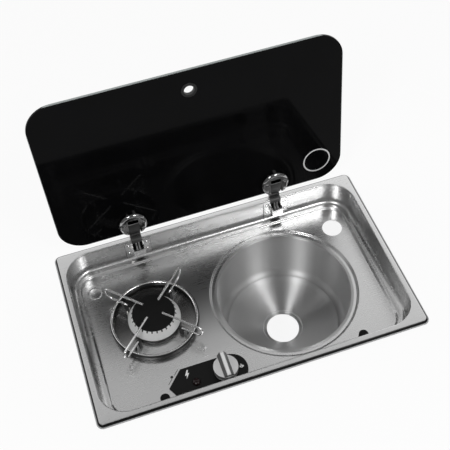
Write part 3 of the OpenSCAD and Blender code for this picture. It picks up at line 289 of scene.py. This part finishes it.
def ring_steel():
    """Polished bead with a painted dark reflection on its rolled outside and on its inside, over a wall with
    painted shade.
    """
    rolled_outside = (RING_R - 2.8 * MM, RING_R - 1.7 * MM)
    bead_inside = (RING_R - 6.1 * MM, RING_R - 5.6 * MM)
    bead_foot = (-0.0400, -0.0394)
    wall_top = (-0.0400, -0.0396)
    wall_outside = (RING_R - 1.9 * MM, RING_R - 1.3 * MM)

    f = Finish("polished_ring_steel", Specular_IOR_Level=0.1)
    x, y, z = f.axes(BURNER)
    radius = length(x, y)
    cloud = f.noise(HANDLING_MARKS, 3.0)
    lines = f.turned_lines(z, radius, 2500.0)
    # painted shade on the wall below the bead, and a painted dark reflection, near black and not metal, on the
    # bead's outside and inside
    painted_wall_shade = z.below(*wall_top) * radius.below(*wall_outside)
    dark = radius.above(*rolled_outside).either(radius.below(*bead_inside) * z.above(*bead_foot))
    metal = f.mix(cloud * 0.5 + lines * 0.5, grey(0.84), grey(0.94))
    f.put(Roughness=cloud.sway(0.08) + 0.22, Metallic=1.0 - dark,
          Base_Color=f.mix(dark, f.mix(painted_wall_shade, metal, grey(0.3)), grey(0.025)))
    return f.bump(lines, 0.01 * MM, 0.2)


def burner_aluminium():
    """Cast and turned crown, with painted shade, near black, inside its slots."""
    slot_wall = (0.00122, 0.00135)
    slot_foot = (-0.0245, -0.0238)
    slots_per_radian = CROWN_SLOTS / (2 * math.pi)

    f = Finish("turned_cast_aluminium", Metallic=0.12)
    x, y, z = f.axes(BURNER)
    radius = length(x, y)
    rings = f.turned_lines(radius, z, 1300.0)
    grain = f.noise(500.0, 3.0)
    # distance from the middle of the nearest slot, measured round the crown
    slots_round = y.math("ARCTAN2", x) * slots_per_radian - 0.5
    away = slots_round.math("PINGPONG", 0.5) * radius * (1 / slots_per_radian)
    # painted shade: the faces inside the slots are near black
    slot = away.below(*slot_wall) * z.above(*slot_foot)
    metal = f.mix(rings * 0.5 + grain * 0.5, grey(0.82), grey(0.97))
    f.put(Roughness=rings.sway(0.1) + grain.sway(0.06) + 0.36,
          Base_Color=f.mix(slot, metal, grey(0.012)))
    return f.bump(rings * 0.6 + grain * 0.4, 0.04 * MM, 0.5)


def coat(name, colour, rough, gloss=0.5, grain=700.0, depth=0.04 * MM, specks=0.0):
    """Paint, enamel, rubber or moulded plastic."""
    f = Finish(name, Specular_IOR_Level=gloss)
    fine = f.noise(grain, 3.0)
    cloud = f.noise(PLASTIC_CLOUDS)
    base = f.mix(fine * 0.5 + cloud * 0.5, shaded(colour, 0.8), shaded(colour, 1.15))
    if specks:
        dots = f.noise(grain * 2.2, 1.0).above(0.68, 0.74)
        base = f.mix(dots * specks, base, grey(0.3))
    f.put(Roughness=fine.sway(0.12) + cloud.sway(0.06) + rough, Base_Color=base)
    return f.bump(fine, depth, 0.5)


def lid_axes(f):
    """Places on the open lid: across it, up it from its lower edge, and off its inner face."""
    x, y, z = f.axes(LID_EDGE)
    return x, y * LID_UP.y + z * LID_UP.z, y * LID_FACE.y + z * LID_FACE.z


def beside_hinge(x):
    """Distance to either side of the nearer hinge's middle."""
    return (x.math("ABSOLUTE") - HINGE_X).math("ABSOLUTE")


def black_glass():
    """Black pane with a pale ground edge all round."""
    ground_edge = (LID_CORNER - 1.2 * MM, LID_CORNER - 0.6 * MM)

    f = Finish("black_tempered_glass", Specular_IOR_Level=0.05)
    wipe = f.noise(14.0, 3.0, f.stretched(1, 3, 1))
    across, along, _ = lid_axes(f)
    out = length(across.past(LID_HALF_WIDTH - LID_CORNER),
                 (along - LID_HALF_HEIGHT).past(LID_HALF_HEIGHT - LID_CORNER))
    edge = out.above(*ground_edge)
    black = f.mix(wipe, grey(0.0018), grey(0.0035, (1, 1, 1.15)))
    f.put(Roughness=wipe.sway(0.04) + 0.06 + edge * (f.noise(1500.0) * 0.1 + 0.22),
          Base_Color=f.mix(edge, black, grey(0.34, (0.93, 1.0, 0.99))))
    return f


def bracket_steel():
    """Pressed bracket: bright plates with dark outer edges, a dark coated neck, and painted shade, near black,
    inside its channel.
    """
    neck_side = (0.01048, 0.01056)
    channel_side = (0.00985, 0.00995)
    channel_mouth = (0.1552, 0.1556)
    neck_foot = (-0.0014, -0.0010)
    plate_edge = (0.0247, 0.0252)

    f = Finish("bright_pressed_steel", Metallic=1.0)
    x, y, z = f.axes()
    beside = beside_hinge(x)
    neck = beside.below(*neck_side) * z.above(*neck_foot)
    # painted shade inside the channel
    channel = beside.below(*channel_side) * y.above(*channel_mouth) * z.below(*neck_foot)
    cloud = f.noise(HANDLING_MARKS, 3.0)
    metal = f.mix(cloud, grey(0.62), grey(0.76))
    metal = f.mix(beside.above(*plate_edge), metal, grey(0.12))
    metal = f.mix(neck, metal, grey(0.055))
    f.put(Roughness=cloud.sway(0.1) + 0.26 + neck * 0.12, Metallic=1.0 - neck.either(channel),
          Base_Color=f.mix(channel, metal, grey(0.008)))
    return f.bump(f.noise(POLISHING_GRAIN), 0.01 * MM, 0.3)


def cup_chrome():
    """Polished casting with painted shade, near black, inside the window above the end of the arm."""
    window_side = (0.01005, 0.0102)
    window_low, window_high = (0.02895, 0.0291), (0.0375, 0.0377)
    window_floor = (0.0095, 0.0098)

    f = Finish("polished_die_casting", Metallic=1.0)
    across, along, off = lid_axes(f)
    # painted shade inside the window recess
    window = beside_hinge(across).below(*window_side) * along.above(*window_low)
    window = window * along.below(*window_high) * off.below(*window_floor)
    cloud = f.noise(HANDLING_MARKS, 3.0)
    f.put(Roughness=cloud.sway(0.06) + 0.11,
          Base_Color=f.mix(window, f.mix(cloud, grey(0.32), grey(0.42)), grey(0.006)))
    return f.bump(f.noise(POLISHING_GRAIN), 0.01 * MM, 0.2)


def arm_coat():
    """Dark coated arm with a painted highlight line at its end."""
    painted_end_highlight = (0.0274, 0.0277)

    f = Finish("dark_coated_arm", Specular_IOR_Level=0.5)
    _, along, _ = lid_axes(f)
    fine = f.noise(500.0, 3.0)
    cloud = f.noise(PLASTIC_CLOUDS)
    coated = f.mix(fine * 0.5 + cloud * 0.5, grey(0.02), grey(0.038))
    # painted highlight: the end of the arm is light grey
    f.put(Roughness=fine.sway(0.12) + cloud.sway(0.06) + 0.38,
          Base_Color=f.mix(along.above(*painted_end_highlight), coated, grey(0.3)))
    return f.bump(fine, 0.04 * MM, 0.5)


def knob_silver():
    """Satin knob: light disc, with painted shade on its skirt and on the sides and front end of its pointer bar.
    """
    bar_side_top, bar_side_foot = (0.0033, 0.0036), (0.0092, 0.0094)
    bar_front = (-0.0214, -0.0209)
    bar_foot = (-0.0288, -0.0284)
    skirt_radius = (0.0216, 0.0220)
    skirt_top = (-0.0312, -0.0304)

    f = Finish("satin_silver_knob", Specular_IOR_Level=0.5)
    x, y, z = f.axes(KNOB)
    fine = f.noise(POLISHING_GRAIN, 3.0)
    cloud = f.noise(PLASTIC_CLOUDS)
    across = x.math("ABSOLUTE")
    side = across.above(*bar_side_top) * across.below(*bar_side_foot)
    bar = side.either(y.below(*bar_front)) * z.above(*bar_foot)
    skirt = length(x, y).above(*skirt_radius) * z.below(*skirt_top)
    # painted shade: a dark copy of the finish on the bar's sides and front end and on the skirt, a light one on
    # the disc
    light = f.mix(fine * 0.5 + cloud * 0.5, grey(0.52), grey(0.62))
    dark = f.mix(fine * 0.5 + cloud * 0.5, grey(0.06), grey(0.10))
    f.put(Roughness=fine.sway(0.12) + 0.38, Base_Color=f.mix(bar.either(skirt), light, dark))
    return f.bump(fine, 0.04 * MM, 0.5)


FINISHES = {
    "tray_steel": tray_steel(),
    "bowl_steel": bowl_steel(),
    "seal_grey": coat("edge_seal_rubber", grey(0.5, (0.99, 1.0, 1.01)), rough=0.55, gloss=0.4),
    "zinc": plain_steel("zinc_plate", level=0.5, rough=0.35, grain=300.0),
    "panel_black": coat("satin_panel_black", grey(0.006), rough=0.36, gloss=0.15, grain=1500.0),
    "print_white": coat("white_print", grey(0.8), rough=0.5, gloss=0.4),
    "print_grey": coat("grey_print", grey(0.03), rough=0.5, gloss=0.4),
    "brass": bright("machined_brass", level=0.8, rough=0.24, tint=(0.9, 0.68, 0.33)),
    "spring_steel": bright("spring_steel", level=0.5, rough=0.25),
    "housing_black": coat("moulded_housing", grey(0.03), rough=0.5),
    "lead_black": coat("lead_sleeve", grey(0.02), rough=0.55),
    "ceramic_white": coat("glazed_ceramic", grey(0.8, (1, 0.99, 0.95)), rough=0.18, gloss=0.6),
    "copper": bright("drawn_copper", level=0.85, rough=0.28, tint=(0.93, 0.55, 0.38)),
    "probe_nickel": bright("nickel_plated_tip", level=0.8, rough=0.16, tint=(1, 0.985, 0.95)),
    "burner_aluminium": burner_aluminium(),
    # the burner base is near black: painted shade for the gap under the crown
    "base_dark": coat("shade_dark_base", grey(0.03), rough=0.5, gloss=0.4, grain=400.0),
    "rubber_black": coat("bumper_rubber", grey(0.004), rough=0.7, gloss=0.1),
    "bracket_steel": bracket_steel(),
    "finger_plastic": coat("moulded_fingers", grey(0.24), rough=0.45),
    "screw_steel": bright("bright_screw_steel", level=0.75, rough=0.14),
    "lid_glass": black_glass(),
    "grommet_black": coat("grommet_rubber", grey(0.012), rough=0.5, gloss=0.35),
    "arm_dark": arm_coat(),
    "cup_chrome": cup_chrome(),
    "knob_silver": knob_silver(),
    "stripe_white": coat("light_stripe", grey(0.78), rough=0.4),
    "button_red": coat("dark_red_dome", (0.007, 0.0011, 0.0013, 1), rough=0.24, gloss=0.3),
    "cap_enamel": coat("black_enamel", grey(0.006), 0.45, 0.2, grain=600.0, depth=0.06 * MM, specks=0.06),
    "ring_steel": ring_steel(),
    "wire_chrome": bright("chromed_wire", level=0.95, rough=0.13),
    "strap_steel": plain_steel("flat_strap_steel", level=0.4, rough=0.26, grain=200.0),
    "clip_dark": coat("dark_clip", grey(0.02), rough=0.4),
}
slot_of = {row["node"]: row["material_slot"] for row in frame["record"]["subparts"]}


# ---------------------------------------------------------------- CAD pieces that keep their shape
SHARP_FROM_DEG = 35
WELD_WITHIN = 0.002 * MM
EDGE_BREAKS_MM = {
    "knob": 0.5,
    "hinge_cup_left": 0.5,
    "hinge_cup_right": 0.5,
    "hinge_bracket_left": 0.35,
    "hinge_bracket_right": 0.35,
    "hinge_arm_left": 0.4,
    "hinge_arm_right": 0.4,
    "hinge_fingers": 0.3,
    "support_straps": 0.3,
    "support_clips": 0.4,
    "burner_cap": 0.4,
    "cup_screws": 0.2,
    "bracket_screws": 0.2,
    "control_panel": 0.3,
}


def crisp_edges():
    """Modifier nodes that shade across soft edges and keep the sharp ones crisp."""
    group = bpy.data.node_groups.new("crisp_edges", "GeometryNodeTree")
    for way in ("INPUT", "OUTPUT"):
        group.interface.new_socket("Geometry", in_out=way, socket_type="NodeSocketGeometry")
    first = group.nodes.new("NodeGroupInput")
    last = group.nodes.new("NodeGroupOutput")
    fold = Value(group, group.nodes.new("GeometryNodeInputMeshEdgeAngle").outputs["Unsigned Angle"])
    smooth = group.nodes.new("GeometryNodeSetShadeSmooth")
    smooth.domain = "EDGE"
    group.links.new(first.outputs[0], smooth.inputs["Geometry"])
    plug(group, fold.math("LESS_THAN", math.radians(SHARP_FROM_DEG)), smooth.inputs["Shade Smooth"])
    group.links.new(smooth.outputs[0], last.inputs[0])
    return group


def dress(name, edge_break, shading):
    """Joins a CAD node's triangles while it renders, breaks its sharp edges and gives it its finish."""
    piece = nodes[name]
    piece.data.materials.clear()
    piece.data.materials.append(FINISHES[slot_of[name]].material)
    for face in piece.data.polygons:
        face.use_smooth = True
    weld = piece.modifiers.new("weld", "WELD")
    weld.merge_threshold = WELD_WITHIN
    if edge_break:
        broken = piece.modifiers.new("broken_edges", "BEVEL")
        broken.width = edge_break
        broken.segments = 2
        broken.limit_method = "ANGLE"
        broken.angle_limit = math.radians(SHARP_FROM_DEG)
        broken.harden_normals = False
    crisp = piece.modifiers.new("crisp_edges", "NODES")
    crisp.node_group = shading
    even = piece.modifiers.new("even_shading", "WEIGHTED_NORMAL")
    even.keep_sharp = True
    even.weight = 100


shading = crisp_edges()
for name in nodes:
    dress(name, EDGE_BREAKS_MM.get(name, 0.0) * MM, shading)


# ---------------------------------------------------------------- pressed disc in the tray floor
def start_modelling():
    """Deselects everything and makes edit mode pick faces."""
    bpy.ops.object.select_all(action="DESELECT")
    bpy.context.tool_settings.mesh_select_mode = (False, False, True)


def pick_top(piece, height):
    """Selects the faces that look up at a height, in edit mode."""
    bpy.ops.object.mode_set(mode="OBJECT")
    for face in piece.data.polygons:
        face.select = face.normal.z > 0.9 and abs(face.center.z - height) < 0.05 * MM
    bpy.ops.object.mode_set(mode="EDIT")


def pressed_disc(centre, radius):
    """A flat disc with a shallow groove round its raised middle."""
    thick = 1.2 * MM
    groove_depth = 0.5 * MM
    middle_rise = 0.4 * MM

    start_modelling()
    bpy.ops.mesh.primitive_cylinder_add(vertices=72, radius=radius, depth=thick)
    disc = bpy.context.active_object
    disc.name = "pressed_disc"
    bpy.ops.object.mode_set(mode="EDIT")
    pick_top(disc, thick / 2)
    bpy.ops.mesh.inset(thickness=radius * 0.13)
    bpy.ops.transform.translate(value=(0, 0, -groove_depth))
    bpy.ops.mesh.inset(thickness=radius * 0.22)
    bpy.ops.transform.translate(value=(0, 0, middle_rise))
    bpy.ops.object.mode_set(mode="OBJECT")
    disc.data.transform(Matrix.Translation(centre))
    edge = disc.modifiers.new("soft_edge", "BEVEL")
    edge.width = 0.2 * MM
    edge.segments = 3
    edge.limit_method = "ANGLE"
    edge.angle_limit = math.radians(20)
    bpy.ops.object.modifier_apply(modifier="soft_edge")
    bpy.ops.object.shade_smooth_by_angle(angle=math.radians(40))
    disc.data.materials.append(FINISHES["tray_steel"].material)
    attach(disc, "unit")


pressed_disc(centre=(-0.2442, 0.1126, FLOOR_Z), radius=13.5 * MM)


# ---------------------------------------------------------------- camera
CAMERA_PLACE = (-0.2297, -0.7983, 1.2866)
CAMERA_AHEAD = Vector((0.16018589, 0.58410778, -0.79571263))
CAMERA_RIGHT = Vector((0.94737756, -0.31732215, -0.04221854))
FOCAL_LENGTH_MM = 67.11
SENSOR_WIDTH_MM = 36.0

camera_data = bpy.data.cameras.new("camera")
camera_data.lens = FOCAL_LENGTH_MM
camera_data.sensor_width = SENSOR_WIDTH_MM
camera_data.clip_end = 20.0
camera = bpy.data.objects.new("camera", camera_data)
bpy.context.scene.collection.objects.link(camera)
camera_turn = Matrix((CAMERA_RIGHT, CAMERA_RIGHT.cross(CAMERA_AHEAD), -CAMERA_AHEAD)).transposed()
camera.matrix_world = Matrix.Translation(CAMERA_PLACE) @ camera_turn.to_4x4()
bpy.context.scene.camera = camera
bpy.context.scene.view_settings.view_transform = "Standard"


# ---------------------------------------------------------------- surroundings
PALE = 0.9
WORKTOP_SIZE = 18.0
WORKTOP_INSET = 0.01
CUT_OUT = (0.574, 0.342)
WORKTOP_Z = -0.4 * MM
LOWER_FLOOR_SIZE = 4.0
LOWER_FLOOR_Z = -0.3


def rays(tree, *kinds):
    """1 for rays of the kinds named, 0 for the others."""
    path = add_node(tree, "LightPath")
    return sum(Value(tree, path.outputs["Is %s Ray" % kind]) for kind in kinds)


def studio_world():
    """Bright behind the object and dim elsewhere for what it mirrors, and even and pale to the camera."""
    backdrop_edge = (-0.1, 0.5)
    backdrop_top = (0.90, 0.97)
    brighter_up_to = (0.66, 0.76)
    room = 0.16

    world = bpy.data.worlds.new("studio")
    bpy.context.scene.world = world
    world.use_nodes = True
    tree = world.node_tree
    direction = Value(tree, add_node(tree, "TexCoord").outputs["Generated"])
    _, to_back, to_top = split(tree, direction)
    backdrop = to_back.above(*backdrop_edge) * to_top.below(*backdrop_top)
    mirrored = backdrop * (to_top.below(*brighter_up_to) * 0.6 + 0.6) + room
    seen = rays(tree, "Camera")
    sky = tree.nodes["Background"]
    fill(tree, sky, {"Color": grey(1.0), "Strength": seen * PALE + (1.0 - seen) * mirrored})


def pale_finish():
    """Plain pale surface that shows one even tone to the camera, in mirrors and through glass."""
    material = bpy.data.materials.new("pale_floor")
    material.use_nodes = True
    tree = material.node_tree
    plain = tree.nodes["Principled BSDF"]
    fill(tree, plain, {"Base Color": grey(0.85), "Roughness": 1.0, "Specular IOR Level": 0.0})
    glow = result(tree, "Emission")
    shown = rays(tree, "Camera", "Glossy", "Transmission").math("MINIMUM", 1.0) * PALE
    blend = result(tree, "MixShader", None, shown, Value(tree, plain.outputs[0]), glow)
    plug(tree, blend, tree.nodes["Material Output"].inputs["Surface"])
    return material


def worktop(finish):
    """The pale worktop, open where the unit drops in."""
    inner = WORKTOP_SIZE - 2 * WORKTOP_INSET
    start_modelling()
    bpy.ops.mesh.primitive_plane_add(size=1)
    floor = bpy.context.active_object
    floor.name = "floor"
    floor.data.transform(Matrix.Diagonal((WORKTOP_SIZE, WORKTOP_SIZE, 1, 1)))
    bpy.ops.object.mode_set(mode="EDIT")
    bpy.ops.mesh.select_all(action="SELECT")
    bpy.ops.mesh.inset(thickness=WORKTOP_INSET)
    bpy.ops.transform.resize(value=(CUT_OUT[0] / inner, CUT_OUT[1] / inner, 1))
    bpy.ops.mesh.delete(type="FACE")
    bpy.ops.object.mode_set(mode="OBJECT")
    floor.data.transform(Matrix.Translation((0, 0, WORKTOP_Z)))
    floor.data.materials.append(finish)


def lower_floor(finish):
    """A second pale surface, far below, that shows through the open holes."""
    start_modelling()
    bpy.ops.mesh.primitive_plane_add(size=1)
    below = bpy.context.active_object
    below.name = "lower_floor"
    size = Matrix.Diagonal((LOWER_FLOOR_SIZE, LOWER_FLOOR_SIZE, 1, 1))
    below.data.transform(Matrix.Translation((0, 0, LOWER_FLOOR_Z)) @ size)
    below.data.materials.append(finish)


def softbox(name, place, aim, size, power):
    data = bpy.data.lights.new(name, "AREA")
    data.shape = "RECTANGLE"
    data.size, data.size_y = size
    data.energy = power
    lamp = bpy.data.objects.new(name, data)
    bpy.context.scene.collection.objects.link(lamp)
    lamp.location = place
    lamp.rotation_euler = (Vector(aim) - Vector(place)).to_track_quat("-Z", "Y").to_euler()
    lamp.visible_camera = False


studio_world()
pale = pale_finish()
worktop(pale)
lower_floor(pale)
softbox("left_box", place=(-0.75, -0.75, 1.5), aim=(0.05, 0, 0), size=(0.35, 0.5), power=8)
softbox("right_strip", place=(0.95, -0.4, 1.5), aim=(0.05, 0, 0), size=(0.8, 1.2), power=2)
softbox("back_window", place=(1.25, 1.8, 2.5), aim=(0, 0, 0), size=(2.8, 1.3), power=2.6)
softbox("front_window", place=(0.8, -1.3, 1.9), aim=(0.1, 0, 0), size=(0.6, 0.8), power=12)
